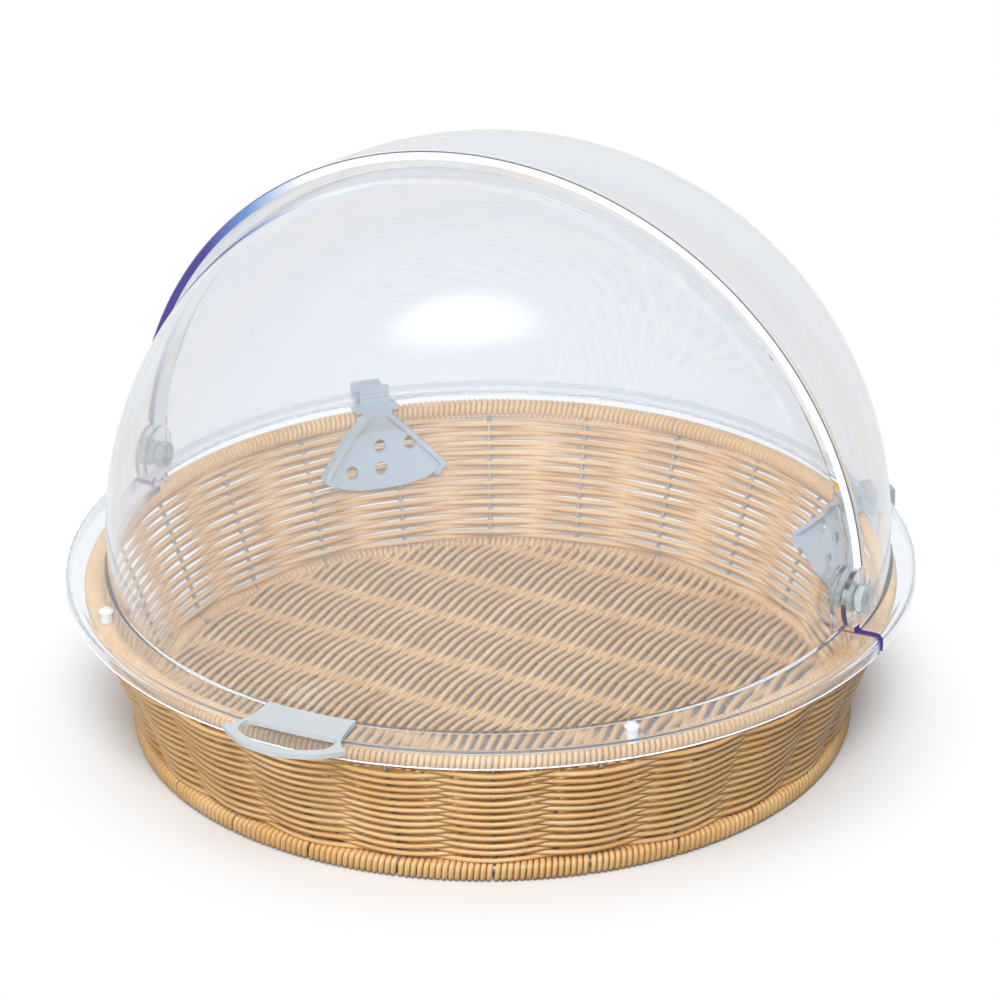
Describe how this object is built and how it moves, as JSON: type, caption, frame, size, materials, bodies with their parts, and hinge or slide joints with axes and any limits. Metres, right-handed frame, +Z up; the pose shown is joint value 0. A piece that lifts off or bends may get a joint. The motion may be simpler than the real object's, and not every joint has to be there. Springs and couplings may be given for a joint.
{
  "type": "bakery display basket with hinged cover",
  "caption": "Round woven bread basket under a clear dome; the front half of the dome lifts up and back on side hinges by a flange handle.",
  "frame": {"origin": "bottom centre of the bounding box, on the plane that the foot stands on", "axes": "+Z up, -Y towards the handle at the front, +X to the right seen from the front; the hinge line is parallel to X"},
  "size_m": [0.3998, 0.423, 0.2892],
  "materials": {
    "frame_wire": "bright zinc-plated steel wire",
    "weave": "satin extruded polyethylene strand, honey colour",
    "clear_shell": "clear polished polycarbonate",
    "tinted_moulding": "smoky blue-grey moulded polycarbonate",
    "clear_hardware": "clear turned polycarbonate",
    "bumper": "white silicone rubber"
  },
  "bodies": {
    "root": {"wire_frame": "frame_wire", "foot_wrap": "weave", "basket_wall": "weave", "basket_floor": "weave", "rim_wrap": "weave", "rear_shell": "clear_shell", "rim_clip_left": "tinted_moulding", "rim_clip_right": "tinted_moulding", "hinge_screw_left": "clear_hardware", "outer_washer_left": "clear_hardware", "spacer_washer_left": "clear_hardware", "inner_washer_left": "clear_hardware", "thumb_nut_left": "clear_hardware", "hinge_screw_right": "clear_hardware", "outer_washer_right": "clear_hardware", "spacer_washer_right": "clear_hardware", "inner_washer_right": "clear_hardware", "thumb_nut_right": "clear_hardware"},
    "front_cover": {"front_shell": "clear_shell", "front_handle": "tinted_moulding", "bumper_left": "bumper", "bumper_right": "bumper"}
  },
  "joints": [
    {"name": "cover_hinge", "type": "hinge", "parent": "root", "child": "front_cover", "pos_m": [0, 0.0115, 0.0996], "axis": [-1, 0, 0], "range_deg": [0, 94]}
  ]
}
